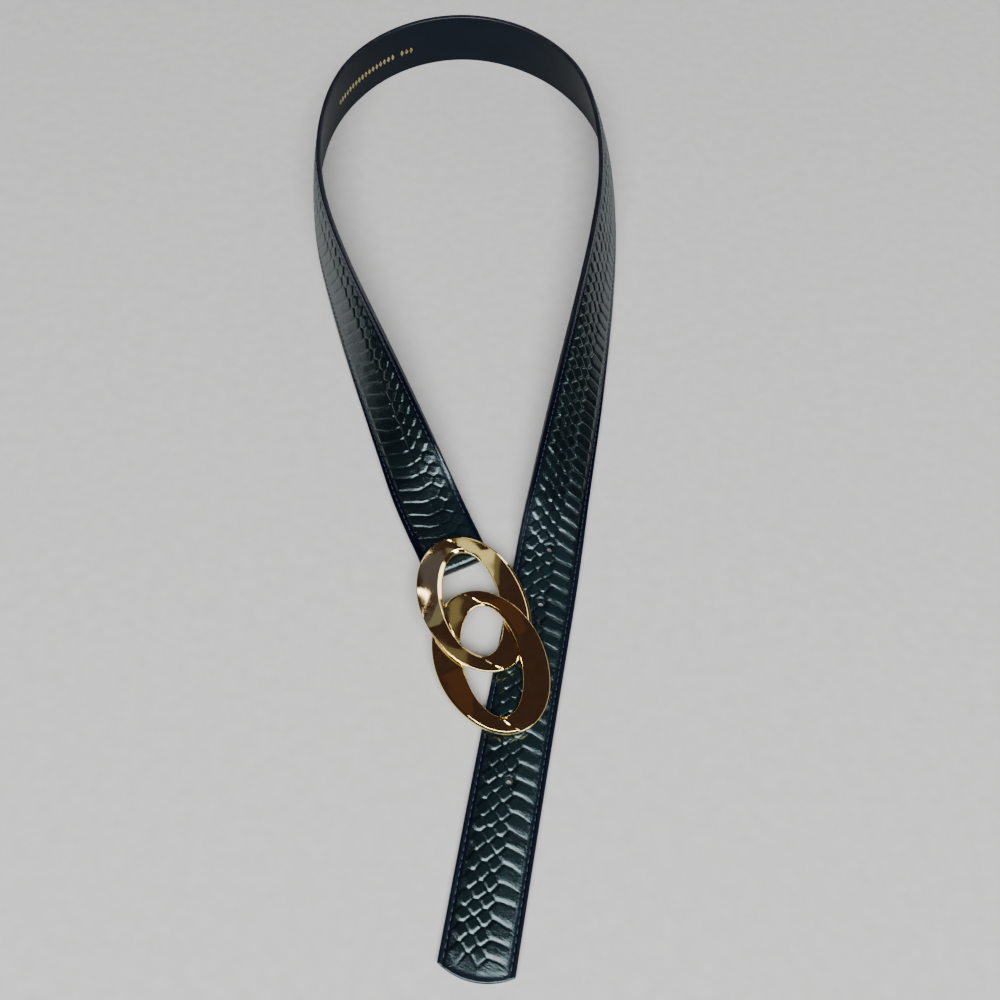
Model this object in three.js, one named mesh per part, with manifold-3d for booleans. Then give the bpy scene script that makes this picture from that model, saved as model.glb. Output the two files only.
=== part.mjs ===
// A fastened snakeskin belt lying on its side on a flat surface.
// Millimetres, +Z up. The tail lies flat in front, the back of the loop stands on its edge,
// and both sides twist down to lie flat where the buckle joins them.
import * as THREE from 'three';
import { mergeVertices } from 'three/addons/utils/BufferGeometryUtils.js';
import Module from 'manifold-3d';

const wasm = await Module();
wasm.setup();

// Strap
const STRAP_WIDTH = 28.6;
const LINING = 1.1;
const GAP = 0.3;
const BED = LINING + GAP;
const TIP_SAG = 4.0;
const TIP_STEPS = 12;
const STATION = 5;
const HOLE = { first: 71.5, pitch: 25.4, count: 5, diameter: 4.0 };
const TIP = { x: -3.7, y: 15.1 };

// Course of the strap from the tip to the fold: distance along it, compass heading from +X,
// lean of its width above the floor, and lift of its lower edge off the floor.
const COURSE = [
  { along: 0, heading: 81.5, lean: 0, lift: 0 },
  { along: 140, heading: 81, lean: 0, lift: 0 },
  { along: 165, heading: 82, lean: 4, lift: 0 },
  { along: 200, heading: 80.5, lean: 22, lift: 0 },
  { along: 245, heading: 80.5, lean: 34.5, lift: 0 },
  { along: 290, heading: 81, lean: 48, lift: 0 },
  { along: 340, heading: 83.5, lean: 62, lift: 0 },
  { along: 385, heading: 89.5, lean: 71.5, lift: 0 },
  { along: 430, heading: 101.5, lean: 74.5, lift: 0 },
  { along: 475, heading: 129, lean: 84, lift: 0 },
  { along: 520, heading: 162, lean: 88, lift: 0 },
  { along: 565, heading: 201, lean: 88, lift: 0 },
  { along: 610, heading: 235, lean: 88.5, lift: 0 },
  { along: 655, heading: 262, lean: 83, lift: 0 },
  { along: 705, heading: 278.5, lean: 79, lift: 0 },
  { along: 760, heading: 290.5, lean: 68, lift: 0 },
  { along: 820, heading: 293.5, lean: 49, lift: 0 },
  { along: 870, heading: 293.5, lean: 30, lift: 0.6 },
  { along: 905, heading: 296, lean: 7, lift: 1.8 },
  { along: 930, heading: 296, lean: 0, lift: 3.7 },
];

// Outer leather: flat stitched margins and a raised field of scales between them.
// across is a share of half the width, height is above the inner side of this layer.
const PLAIN_FACE = 1.25;
const FACE_SECTION = [
  { across: -1.0, height: 0.0 },
  { across: 1.0, height: 0.0 },
  { across: 1.0, height: 1.0 },
  { across: 0.97, height: PLAIN_FACE },
  { across: 0.75, height: 1.3 },
  { across: 0.67, height: 1.65 },
  { across: 0.3, height: 1.85 },
  { across: -0.3, height: 1.85 },
  { across: -0.67, height: 1.65 },
  { across: -0.75, height: 1.3 },
  { across: -0.97, height: PLAIN_FACE },
  { across: -1.0, height: 1.0 },
];
// The lining lies inside, so its heights run downwards from its outer side.
const EDGE_BEVEL = 0.25;
const LINING_SECTION = [
  { across: -1.0, height: -EDGE_BEVEL },
  { across: -0.98, height: 0 },
  { across: 0.98, height: 0 },
  { across: 1.0, height: -EDGE_BEVEL },
  { across: 1.0, height: EDGE_BEVEL - LINING },
  { across: 0.98, height: -LINING },
  { across: -0.98, height: -LINING },
  { across: -1.0, height: EDGE_BEVEL - LINING },
];

// Fold round the hidden bar, and the end turned back below the strap
const BAR_DIAMETER = 3.0;
const FOLD_INSIDE = BAR_DIAMETER / 2 + GAP;
const FOLD_STEPS = 12;
const FOLDED_SCALES = 0.3;
const TURN_BACK = 38;
const TURN_BACK_OPENING = 15;
const LINING_END = 40;

// Buckle: two curb links of one shape, the lower one turned half round.
// Their plan is an oval hole turned inside an oval outline.
const LINK = {
  outerLong: 31.5,
  outerShort: 22.3,
  outerTilt: 28,
  innerLong: 23.6,
  innerShort: 11.8,
  innerTilt: 16,
  innerShift: 0.6,
  steps: 72,
};
const UPPER_CENTRE = { x: -9.6, y: 158.0 };
const LOWER_CENTRE = { x: -1.9, y: 133.2 };
const BUCKLE_HEIGHT = 7.5;
const BUCKLE_RISE = 0.05;

// Where the links pass through each other their sides part in height. The tilt across a link
// fades out towards its free end.
const LINK_TILT = 0.125;
const TILT_FROM = 20;
const TILT_FULL = -5;

// A link's section, outside to inside. One side carries its ridge by the hole, the other by the rim.
const LINK_UNDERSIDE = -1.1;
const RIDGE_BY_HOLE = [
  { across: 0.0, height: 0.6 },
  { across: 0.82, height: 1.3 },
  { across: 1.0, height: 0.3 },
  { across: 1.0, height: -0.5 },
  { across: 0.8, height: LINK_UNDERSIDE },
  { across: 0.2, height: LINK_UNDERSIDE },
  { across: 0.0, height: -0.5 },
];
const RIDGE_BY_RIM = [
  { across: 0.0, height: 0.5 },
  { across: 0.12, height: 1.2 },
  { across: 1.0, height: 0.4 },
  { across: 1.0, height: -0.5 },
  { across: 0.8, height: LINK_UNDERSIDE },
  { across: 0.2, height: LINK_UNDERSIDE },
  { across: 0.0, height: -0.5 },
];

const STUD = { diameter: 3.0, foot: 0.4, hole: 1 };
const POST = { diameter: 1.8, riser: 1.6, clearance: 0.45, forward: 5.5 };

// Monotone cubic through a column of a table, so level stretches stay level.
function column(rows, key, value) {
  const x = rows.map((row) => row[key]);
  const y = rows.map((row) => row[value]);
  const secant = x.slice(1).map((next, i) => (y[i + 1] - y[i]) / (next - x[i]));
  const slope = y.map((_, i) => {
    if (i === 0) return 0;
    if (i === y.length - 1) return secant[i - 1];
    if (secant[i - 1] * secant[i] <= 0) return 0;
    const before = x[i] - x[i - 1];
    const after = x[i + 1] - x[i];
    const a = 2 * after + before;
    const b = after + 2 * before;
    return (a + b) / (a / secant[i - 1] + b / secant[i]);
  });
  return (at) => {
    let i = x.length - 2;
    while (i > 0 && at < x[i]) i -= 1;
    const span = x[i + 1] - x[i];
    const t = (at - x[i]) / span;
    const rise = t * t * (3 - 2 * t);
    const out = t * (t - 1) * (t - 1) * span * slope[i];
    const into = t * t * (t - 1) * span * slope[i + 1];
    return y[i] + rise * (y[i + 1] - y[i]) + out + into;
  };
}

const STRAP_LENGTH = COURSE[COURSE.length - 1].along;
const headingAt = column(COURSE, 'along', 'heading');
const leanAt = column(COURSE, 'along', 'lean');
const liftAt = column(COURSE, 'along', 'lift');
const radians = THREE.MathUtils.degToRad;

function heightAt(along) {
  const lean = radians(leanAt(along));
  return liftAt(along) + (STRAP_WIDTH / 2) * Math.sin(lean) + BED * Math.cos(lean);
}

// One frame per millimetre: the seam between the two leathers, the way across and the way out.
function walkCourse() {
  const centres = [new THREE.Vector3(TIP.x, TIP.y, heightAt(0))];
  for (let i = 0; i < STRAP_LENGTH; i += 1) {
    const last = centres[i];
    const climb = heightAt(i + 1) - heightAt(i);
    const level = Math.sqrt(1 - climb * climb);
    const heading = (radians(headingAt(i)) + radians(headingAt(i + 1))) / 2;
    const step = new THREE.Vector3(level * Math.cos(heading), level * Math.sin(heading), climb);
    centres.push(last.clone().add(step));
  }
  return centres.map((centre, i) => {
    const before = centres[Math.max(i - 1, 0)];
    const after = centres[Math.min(i + 1, centres.length - 1)];
    const ahead = after.clone().sub(before).normalize();
    const heading = radians(headingAt(i));
    const lean = radians(leanAt(i));
    const inward = new THREE.Vector3(-Math.sin(heading), Math.cos(heading), 0);
    const upward = new THREE.Vector3().crossVectors(ahead, inward).normalize();
    const across = inward.clone().multiplyScalar(Math.cos(lean)).addScaledVector(upward, Math.sin(lean));
    const out = upward.clone().multiplyScalar(Math.cos(lean)).addScaledVector(inward, -Math.sin(lean));
    return { centre, ahead, across, out };
  });
}

const FRAMES = walkCourse();

function frameAt(along) {
  const i = Math.min(Math.max(Math.floor(along), 0), FRAMES.length - 2);
  const t = along - i;
  const mixed = (key) => FRAMES[i][key].clone().lerp(FRAMES[i + 1][key], t);
  return { centre: mixed('centre'), ahead: mixed('ahead'), across: mixed('across'), out: mixed('out') };
}

function pointOn(frame, across, out) {
  return frame.centre.clone().addScaledVector(frame.across, across).addScaledVector(frame.out, out);
}

// Rings of points joined into one closed skin. An open run gets a flat cap at each end.
function skin(rings, closed) {
  const count = rings[0].length;
  const positions = rings.flat().flatMap((p) => [p.x, p.y, p.z]);
  const faces = [];
  const last = closed ? rings.length : rings.length - 1;
  for (let i = 0; i < last; i += 1) {
    const here = i * count;
    const next = ((i + 1) % rings.length) * count;
    for (let j = 0; j < count; j += 1) {
      const k = (j + 1) % count;
      faces.push(here + j, next + k, next + j, here + j, here + k, next + k);
    }
  }
  if (!closed) {
    faces.push(...capFaces(rings[0], 0, true));
    faces.push(...capFaces(rings[rings.length - 1], (rings.length - 1) * count, false));
  }
  const geometry = new THREE.BufferGeometry();
  geometry.setAttribute('position', new THREE.Float32BufferAttribute(positions, 3));
  geometry.setIndex(faces);
  return facingOut(geometry);
}

// The end of a run, triangulated in the plane that fits its first three well spaced points.
function capFaces(ring, offset, flip) {
  const origin = ring[0];
  const u = ring[1].clone().sub(origin).normalize();
  const third = ring[Math.floor(ring.length / 2)].clone().sub(origin);
  const v = third.addScaledVector(u, -third.dot(u)).normalize();
  const flat = ring.map((p) => {
    const d = p.clone().sub(origin);
    return new THREE.Vector2(d.dot(u), d.dot(v));
  });
  const order = THREE.ShapeUtils.isClockWise(flat) ? -1 : 1;
  const triangles = THREE.ShapeUtils.triangulateShape(flat, []);
  return triangles.flatMap(([a, b, c]) => {
    const turned = (order > 0) !== flip;
    return turned ? [offset + a, offset + b, offset + c] : [offset + a, offset + c, offset + b];
  });
}

function facingOut(geometry) {
  const p = geometry.getAttribute('position');
  const index = geometry.getIndex().array;
  const corner = (i) => new THREE.Vector3().fromBufferAttribute(p, index[i]);
  let volume = 0;
  for (let i = 0; i < index.length; i += 3) {
    volume += corner(i).dot(corner(i + 1).cross(corner(i + 2)));
  }
  if (volume >= 0) return geometry;
  const turned = [];
  for (let i = 0; i < index.length; i += 3) turned.push(index[i], index[i + 2], index[i + 1]);
  geometry.setIndex(turned);
  return geometry;
}

function toSolid(geometry) {
  const bare = geometry.clone();
  bare.deleteAttribute('normal');
  bare.deleteAttribute('uv');
  const merged = mergeVertices(bare, 1e-5);
  const vertProperties = new Float32Array(merged.getAttribute('position').array);
  const triVerts = new Uint32Array(merged.getIndex().array);
  return new wasm.Manifold(new wasm.Mesh({ numProp: 3, vertProperties, triVerts }));
}

function fromSolid(solid) {
  const mesh = solid.getMesh();
  const geometry = new THREE.BufferGeometry();
  geometry.setAttribute('position', new THREE.BufferAttribute(new Float32Array(mesh.vertProperties), 3));
  geometry.setIndex(new THREE.BufferAttribute(new Uint32Array(mesh.triVerts), 1));
  geometry.computeVertexNormals();
  return geometry;
}

// A round rod between two points.
function rod(from, to, diameter, sides) {
  const along = to.clone().sub(from);
  const geometry = new THREE.CylinderGeometry(diameter / 2, diameter / 2, along.length(), sides);
  const turn = new THREE.Quaternion().setFromUnitVectors(new THREE.Vector3(0, 1, 0), along.clone().normalize());
  geometry.applyQuaternion(turn);
  const middle = from.clone().add(to).multiplyScalar(0.5);
  geometry.translate(middle.x, middle.y, middle.z);
  return geometry;
}

function strapRing(along, section) {
  const frame = frameAt(along);
  return section.map(({ across, height }) => pointOn(frame, (across * STRAP_WIDTH) / 2, height));
}

function stations(end) {
  return Array.from({ length: Math.round(end / STATION) + 1 }, (_, i) => STATION * i);
}

// The layer thins to plain leather where it folds and turns back.
function thinned(section, share) {
  return section.map(({ across, height }) => {
    const extra = Math.max(0, height - PLAIN_FACE);
    return { across, height: height - extra * share };
  });
}

// Rings of the outer leather over the bar and back below itself.
function foldRings() {
  const top = frameAt(STRAP_LENGTH);
  const section = thinned(FACE_SECTION, 1 - FOLDED_SCALES);
  const bar = pointOn(top, 0, -FOLD_INSIDE);
  const rings = [];
  for (let i = 1; i < FOLD_STEPS; i += 1) {
    const angle = (Math.PI * i) / FOLD_STEPS;
    const out = top.out.clone().multiplyScalar(Math.cos(angle)).addScaledVector(top.ahead, Math.sin(angle));
    const centre = bar.clone().addScaledVector(out, FOLD_INSIDE);
    rings.push(section.map(({ across, height }) =>
      pointOn({ centre, across: top.across, out }, (across * STRAP_WIDTH) / 2, height)));
  }
  const count = Math.round(TURN_BACK / STATION) * 2;
  for (let i = 0; i <= count; i += 1) {
    const back = (TURN_BACK * i) / count;
    const open = Math.max(0, 1 - back / TURN_BACK_OPENING);
    const ease = open * open * (3 - 2 * open);
    const depth = GAP + (2 * FOLD_INSIDE - GAP) * ease;
    const frame = frameAt(STRAP_LENGTH - back);
    rings.push(section.map(({ across, height }) => pointOn(frame, (across * STRAP_WIDTH) / 2, -depth - height)));
  }
  return rings;
}

function holeCutters() {
  return Array.from({ length: HOLE.count }, (_, i) => {
    const frame = frameAt(HOLE.first + HOLE.pitch * i);
    return rod(pointOn(frame, 0, -BED * 2), pointOn(frame, 0, BED * 2), HOLE.diameter, 16);
  });
}

// What a shallow arc trims off the square end of the tail.
function tipCutter() {
  const side = STRAP_WIDTH / 2 + 1;
  const radius = ((STRAP_WIDTH / 2) ** 2 + TIP_SAG ** 2) / (2 * TIP_SAG);
  const arc = Array.from({ length: TIP_STEPS + 1 }, (_, i) => {
    const across = side - (2 * side * i) / TIP_STEPS;
    return new THREE.Vector2(across, radius - Math.sqrt(radius * radius - across * across));
  });
  const outline = new THREE.Shape([new THREE.Vector2(-side, -side), new THREE.Vector2(side, -side), ...arc]);
  const geometry = new THREE.ExtrudeGeometry(outline, { depth: 4 * BED, bevelEnabled: false });
  const tip = frameAt(0);
  const ahead = new THREE.Vector3().crossVectors(tip.across, tip.out);
  geometry.translate(0, 0, -2 * BED);
  geometry.applyMatrix4(new THREE.Matrix4().makeBasis(tip.across.clone().negate(), ahead, tip.out));
  geometry.translate(tip.centre.x, tip.centre.y, tip.centre.z);
  return geometry;
}

function trimmed(geometry) {
  const cutters = [tipCutter(), ...holeCutters()];
  return fromSolid(cutters.reduce((solid, cutter) => solid.subtract(toSolid(cutter)), toSolid(geometry)));
}

function strapFace() {
  const straight = stations(STRAP_LENGTH).map((along) => {
    const near = Math.max(0, 1 - (STRAP_LENGTH - along) / TURN_BACK);
    return strapRing(along, thinned(FACE_SECTION, near * (1 - FOLDED_SCALES)));
  });
  return trimmed(skin([...straight, ...foldRings()], false));
}

function strapLining() {
  const section = LINING_SECTION.map(({ across, height }) => ({ across, height: height - GAP }));
  return trimmed(skin(stations(STRAP_LENGTH - LINING_END).map((along) => strapRing(along, section)), false));
}

// Long axis of the buckle in plan, tilted to the left of +Y.
const AXIS = {
  x: -Math.sin(radians(LINK.outerTilt)),
  y: Math.cos(radians(LINK.outerTilt)),
};
const BUCKLE_CENTRE = {
  x: (UPPER_CENTRE.x + LOWER_CENTRE.x) / 2,
  y: (UPPER_CENTRE.y + LOWER_CENTRE.y) / 2,
};

const smooth = (share) => THREE.MathUtils.smoothstep(share, 0, 1);

// Middle height of a link's band. The buckle rises towards the bar, and at the crossing
// one side of each link rides over the other link and one side under it.
function bandHeight(x, y, centre, highSide) {
  const up = (x - BUCKLE_CENTRE.x) * AXIS.x + (y - BUCKLE_CENTRE.y) * AXIS.y;
  const right = (x - centre.x) * AXIS.y - (y - centre.y) * AXIS.x;
  const free = -highSide * ((x - centre.x) * AXIS.x + (y - centre.y) * AXIS.y);
  const crossing = smooth((TILT_FROM - free) / (TILT_FROM - TILT_FULL));
  return BUCKLE_HEIGHT + BUCKLE_RISE * up + highSide * LINK_TILT * crossing * right;
}

function onOval(centre, long, short, tilt, angle) {
  const up = long * Math.cos(angle);
  const right = short * Math.sin(angle);
  const turn = radians(tilt);
  return {
    x: centre.x - up * Math.sin(turn) + right * Math.cos(turn),
    y: centre.y + up * Math.cos(turn) + right * Math.sin(turn),
  };
}

function linkBand(centre, highSide) {
  const rings = [];
  for (let i = 0; i < LINK.steps; i += 1) {
    const angle = (2 * Math.PI * (i + 0.5)) / LINK.steps;
    const outer = onOval(centre, LINK.outerLong, LINK.outerShort, LINK.outerTilt, angle);
    const middle = {
      x: centre.x + highSide * LINK.innerShift * AXIS.y,
      y: centre.y - highSide * LINK.innerShift * AXIS.x,
    };
    const inner = onOval(middle, LINK.innerLong, LINK.innerShort, LINK.innerTilt, angle);
    const onRight = angle < Math.PI;
    const section = onRight === (highSide > 0) ? RIDGE_BY_HOLE : RIDGE_BY_RIM;
    rings.push(section.map(({ across, height }) => {
      const x = outer.x + (inner.x - outer.x) * across;
      const y = outer.y + (inner.y - outer.y) * across;
      return new THREE.Vector3(x, y, bandHeight(x, y, centre, highSide) + height);
    }));
  }
  return skin(rings, true);
}

// Hidden bracket: a bar in the fold, and at each end an arm forward to a post that rises
// to the back of the upper link, inside its rim.
function strapBar() {
  const frame = frameAt(STRAP_LENGTH);
  const half = STRAP_WIDTH / 2 + GAP + POST.diameter / 2;
  const ends = [-half, half].map((across) => pointOn(frame, across, -FOLD_INSIDE));
  const bar = toSolid(rod(ends[0], ends[1], BAR_DIAMETER, 12));
  return fromSolid(ends.reduce((solid, end) => {
    const foot = end.clone().addScaledVector(frame.ahead, POST.forward);
    const roof = bandHeight(foot.x, foot.y, UPPER_CENTRE, -1) + LINK_UNDERSIDE - POST.clearance;
    const arm = rod(end, foot.clone().addScaledVector(frame.ahead, POST.diameter / 2), POST.diameter, 12);
    const post = rod(foot, foot.clone().setZ(roof), POST.riser, 12);
    return solid.add(toSolid(arm)).add(toSolid(post));
  }, bar));
}

// Hidden stud below the lower link, standing in the second hole.
function hookStud() {
  const at = frameAt(HOLE.first + HOLE.pitch * STUD.hole).centre;
  const roof = bandHeight(at.x, at.y, LOWER_CENTRE, 1) + LINK_UNDERSIDE - POST.clearance;
  const foot = new THREE.Vector3(at.x, at.y, STUD.foot);
  return rod(foot, new THREE.Vector3(at.x, at.y, roof), STUD.diameter, 14);
}

const snakeskin = new THREE.MeshStandardMaterial({ color: 0x10181e, roughness: 0.25, metalness: 0 });
const smoothLeather = new THREE.MeshStandardMaterial({ color: 0x121c2a, roughness: 0.5, metalness: 0 });
const gold = new THREE.MeshStandardMaterial({ color: 0xc9a24a, roughness: 0.12, metalness: 1 });

const belt = new THREE.Group();

function place(name, geometry, material) {
  const mesh = new THREE.Mesh(geometry, material);
  mesh.name = name;
  belt.add(mesh);
}

place('strap_face', strapFace(), snakeskin);
place('strap_lining', strapLining(), smoothLeather);
place('link_upper', linkBand(UPPER_CENTRE, -1), gold);
place('link_lower', linkBand(LOWER_CENTRE, 1), gold);
place('strap_bar', strapBar(), gold);
place('hook_stud', hookStud(), gold);

// The origin is below the middle of the whole belt, on the floor.
const box = new THREE.Box3().setFromObject(belt, true);
belt.position.set(-(box.min.x + box.max.x) / 2, -(box.min.y + box.max.y) / 2, -box.min.z);

export default belt;
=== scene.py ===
import math

import bmesh
import bpy
import numpy as np
from mathutils import Matrix, Vector
from mathutils.kdtree import KDTree


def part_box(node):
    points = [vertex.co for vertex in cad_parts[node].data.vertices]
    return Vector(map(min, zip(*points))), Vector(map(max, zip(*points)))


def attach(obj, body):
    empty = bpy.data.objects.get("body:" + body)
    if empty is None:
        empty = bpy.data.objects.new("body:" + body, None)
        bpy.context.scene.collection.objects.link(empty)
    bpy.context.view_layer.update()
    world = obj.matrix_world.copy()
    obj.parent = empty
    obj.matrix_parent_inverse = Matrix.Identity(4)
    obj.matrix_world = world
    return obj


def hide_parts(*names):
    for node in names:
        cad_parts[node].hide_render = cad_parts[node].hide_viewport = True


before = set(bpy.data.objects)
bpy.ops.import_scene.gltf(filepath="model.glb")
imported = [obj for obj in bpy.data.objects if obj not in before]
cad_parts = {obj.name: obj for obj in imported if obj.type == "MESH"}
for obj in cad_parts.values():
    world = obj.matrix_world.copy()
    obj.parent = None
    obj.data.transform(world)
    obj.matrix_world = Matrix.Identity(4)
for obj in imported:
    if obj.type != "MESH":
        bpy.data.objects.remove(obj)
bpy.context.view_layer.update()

# Lengths are millimetres until a mesh is made.
MM = 0.001

# Strap, as in the part
STRAP_WIDTH = 28.6
HALF = STRAP_WIDTH / 2
LINING = 1.1
GAP = 0.3
BED = LINING + GAP
TIP = (-3.7, 15.1)
TIP_SAG = 4.0
TIP_RADIUS = (HALF**2 + TIP_SAG**2) / (2 * TIP_SAG)
TIP_BLEND = 20.0
HOLE_FIRST = 71.5
HOLE_PITCH = 25.4
HOLE_COUNT = 5
HOLE_RADIUS = 2.0
HOLES = [HOLE_FIRST + HOLE_PITCH * i for i in range(HOLE_COUNT)]
STUD_HOLE = 1

# Radius of a hole 4 mm below the seam, where no stud stands in it
HOLE_BOTTOM = 0.6
CUT_REACH = 4.0

# Course of the strap from the tip to the fold, as in the part
COURSE_COLUMNS = ("along", "heading", "lean", "lift")
COURSE = [
    (0, 81.5, 0, 0),
    (140, 81, 0, 0),
    (165, 82, 4, 0),
    (200, 80.5, 22, 0),
    (245, 80.5, 34.5, 0),
    (290, 81, 48, 0),
    (340, 83.5, 62, 0),
    (385, 89.5, 71.5, 0),
    (430, 101.5, 74.5, 0),
    (475, 129, 84, 0),
    (520, 162, 88, 0),
    (565, 201, 88, 0),
    (610, 235, 88.5, 0),
    (655, 262, 83, 0),
    (705, 278.5, 79, 0),
    (760, 290.5, 68, 0),
    (820, 293.5, 49, 0),
    (870, 293.5, 30, 0.6),
    (905, 296, 7, 1.8),
    (930, 296, 0, 3.7),
]
STRAP_LENGTH = COURSE[-1][0]
FINE = 0.1

# Fold round the bar and the end turned back below the strap, as in the part
FOLD_INSIDE = 1.8
FOLD_LENGTH = math.pi * FOLD_INSIDE
TURN_BACK = 38.0
TURN_BACK_OPENING = 15.0
ROUTE_LENGTH = STRAP_LENGTH + FOLD_LENGTH + TURN_BACK
LINING_END = STRAP_LENGTH - 40

# Outer leather: margins, and the field of scales between them
FACE_TOP = 1.25
CROWN = 0.3
CROWN_WIDTH = 9
EDGE_DROP = 0.3
EDGE_ROUND = 0.4
LONG_HUMPS = (45, 0.022)
SHORT_HUMPS = (12, 0.008)
FIELD_HIGH = 11.5
FIELD_LOW = -10.9
FIELD_EDGE = 1.1
FIELD_FROM_TIP = 0.5
FIELD_TIP_EDGE = 11.0
STEP = 0.4
FACE_CUTS = (310, 620)

# The scales thin out before the fold
FOLDED_SCALES = 0.12
THINNING_FROM = 895.0
THINNING_LENGTH = 35

# Small scales in staggered rows
MAP_STEP = 0.1
SCALE_PITCH = 6.4
ROW_SPACING = 3.9
ROW_TOP = 8.0
ROWS = 5
ROW_STARTS = (8.5, 5.3)
ROW_CLEARANCE = 0.9
SAME_SITE = 0.5
SCALE_HEIGHT = 0.5
PLATE_RISE = 0.03
TIP_SIDE = 1.5
BASE_SIDE = 0.55
CORNER_ROUNDING = 0.14
SMALL_SCATTER = (0.38, 0.3)
SMALL_LIFT = (0.85, 1.15)
SMALL_LEAN = 0.016
SMALL_HALF = 5.5
SMALL_REACH = 8.5
WARP = (0.30, 0.22)
WARP_LENGTH = 60
SEED = 7

# Wide scales beside them: neck at the small scales, foot at the margin
WIDE_TIP_SIDE = (1.8, 3.2)
WIDE_HEIGHT = 0.56
WIDE_DROP = 2.0
WIDE_SCATTER = 0.15
WIDE_LIFT = (0.9, 1.12)
WIDE_FALL = 0.02
WIDE_BOW = 0.006
WIDE_REACH = 8.0
WIDE_AHEAD = 14
WIDE_BEHIND = 6
WIDE_ABOVE = 5
WIDE_BELOW = 1.5
FOOT_DROP = 1.2
FOOT_SIDE = 2
NECK_DEPTH = 1.5
NECK_SIDE = 1.2
CLEAR_OF_NECK = 9.0

# Leather pressed flat round each hole, and the hole's rim
PRESSED_FLAT = 0.2
PRESSED_SLOPE = 1.3
PRESSED_LEVEL = 0.12
RIM_HEIGHT = 0.16
RIM_PLACE = 0.55
RIM_WIDTH = 0.35

# Upper end of the wide scales: distance along the strap, height across it, slant of their edges
WIDE_COLUMNS = ("along", "top", "slant")
WIDE = [
    (0, -1.7, 0.30),
    (240, -2.0, 0.32),
    (420, -0.5, 0.40),
    (600, 2.0, 0.45),
    (760, 4.0, 0.50),
    (825, 4.0, 0.50),
    (880, 0.4, 0.48),
    (1000, -1.6, 0.45),
]

# Stitches
STITCH_LINE = 12.4
STITCH_PITCH = 3.1
STITCH_LENGTH = 2.3
THREAD_RADIUS = 0.22
GROOVE_DEPTH = 0.16
GROOVE_WIDTH = 0.42
THREAD_SIDES = 6
FACE_THREAD = FACE_TOP - 0.04
LINING_THREAD = 0.32 - BED

# Section of the edge paint: outward from the strap's edge, height above the seam
PAINT_SECTION = [
    (-0.08, 0.96),
    (0.04, 0.90),
    (0.11, 0.62),
    (0.14, -0.2),
    (0.11, -0.95),
    (0.04, -1.22),
    (-0.08, -1.3),
]

# Foil lozenges: half sizes, pitch, place across, and each group's start and count
FOIL_HALF_LONG = 1.15
FOIL_HALF_WIDE = 1.9
FOIL_PITCH = 3.0
FOIL_ACROSS = -1.8
FOIL_GROUPS = [(575.5, 3), (588.0, 17)]
FOIL_LEVELS = (0.03 - BED, -BED - 0.05)

# Buckle links, as in the part
LINK_OUTER = (31.5, 22.3, 28.0)
LINK_INNER = (23.6, 11.8, 16.0)
INNER_SHIFT = 0.6
UPPER_CENTRE = (-9.6, 158.0)
LOWER_CENTRE = (-1.9, 133.2)
BUCKLE_HEIGHT = 7.5
BUCKLE_RISE = 0.05
LINK_TILT = 0.125
TILT_FROM = 20.0
TILT_FULL = -5.0
LINK_STEPS = 400

# Underside of a link: share of the band from its rim or its hole, height
LINK_UNDER = [(0.0, -0.5), (0.03, -0.72), (0.2, -1.1)]

# Camera, fitted to the edges of the strap in the photograph
CAMERA_PLACE = (0.0, 0.0, 393.22)
CAMERA_LENS = 35.495
CAMERA_SENSOR = 36.0
CAMERA_TILT = 28.312
CAMERA_ROLL = 1.847

rng = np.random.default_rng(SEED)


# Curves and small helpers
def column(rows, names, name):
    """Monotone cubic through one column of a table, the same as in the part."""
    x = np.array([row[0] for row in rows], float)
    y = np.array([row[names.index(name)] for row in rows], float)
    secant = np.diff(y) / np.diff(x)
    slope = np.zeros(len(x))
    for i in range(1, len(x) - 1):
        if secant[i - 1] * secant[i] > 0:
            before = x[i] - x[i - 1]
            after = x[i + 1] - x[i]
            a = 2 * after + before
            b = after + 2 * before
            slope[i] = (a + b) / (a / secant[i - 1] + b / secant[i])
    slope[-1] = secant[-1]

    def at(values):
        i = np.clip(np.searchsorted(x, values, side="right") - 1, 0, len(x) - 2)
        span = x[i + 1] - x[i]
        t = (values - x[i]) / span
        rise = t * t * (3 - 2 * t)
        out = t * (t - 1) ** 2 * span * slope[i]
        into = t * t * (t - 1) * span * slope[i + 1]
        return y[i] + rise * (y[i + 1] - y[i]) + out + into

    return at


def smooth(share):
    t = np.clip(share, 0, 1)
    return t * t * (3 - 2 * t)


def unit(vectors):
    return vectors / np.linalg.norm(vectors, axis=-1, keepdims=True)


def strap_course():
    """Seam between the leathers, way across and way out, every FINE along the strap."""
    along = np.arange(0, STRAP_LENGTH + FINE / 2, FINE)
    heading = np.radians(column(COURSE, COURSE_COLUMNS, "heading")(along))
    lean = np.radians(column(COURSE, COURSE_COLUMNS, "lean")(along))
    lift = column(COURSE, COURSE_COLUMNS, "lift")(along)
    height = lift + HALF * np.sin(lean) + BED * np.cos(lean)
    climb = np.diff(height) / FINE
    level = np.sqrt(1 - climb**2) * FINE
    middle = (heading[1:] + heading[:-1]) / 2
    x = TIP[0] + np.concatenate([[0], np.cumsum(level * np.cos(middle))])
    y = TIP[1] + np.concatenate([[0], np.cumsum(level * np.sin(middle))])
    centre = np.stack([x, y, height], axis=1)
    ahead = unit(np.gradient(centre, axis=0))
    inward = np.stack([-np.sin(heading), np.cos(heading), 0 * heading], axis=1)
    upward = unit(np.cross(ahead, inward))
    cos_lean = np.cos(lean)[:, None]
    sin_lean = np.sin(lean)[:, None]
    across = inward * cos_lean + upward * sin_lean
    out = upward * cos_lean - inward * sin_lean
    return along, centre, across, out


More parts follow.
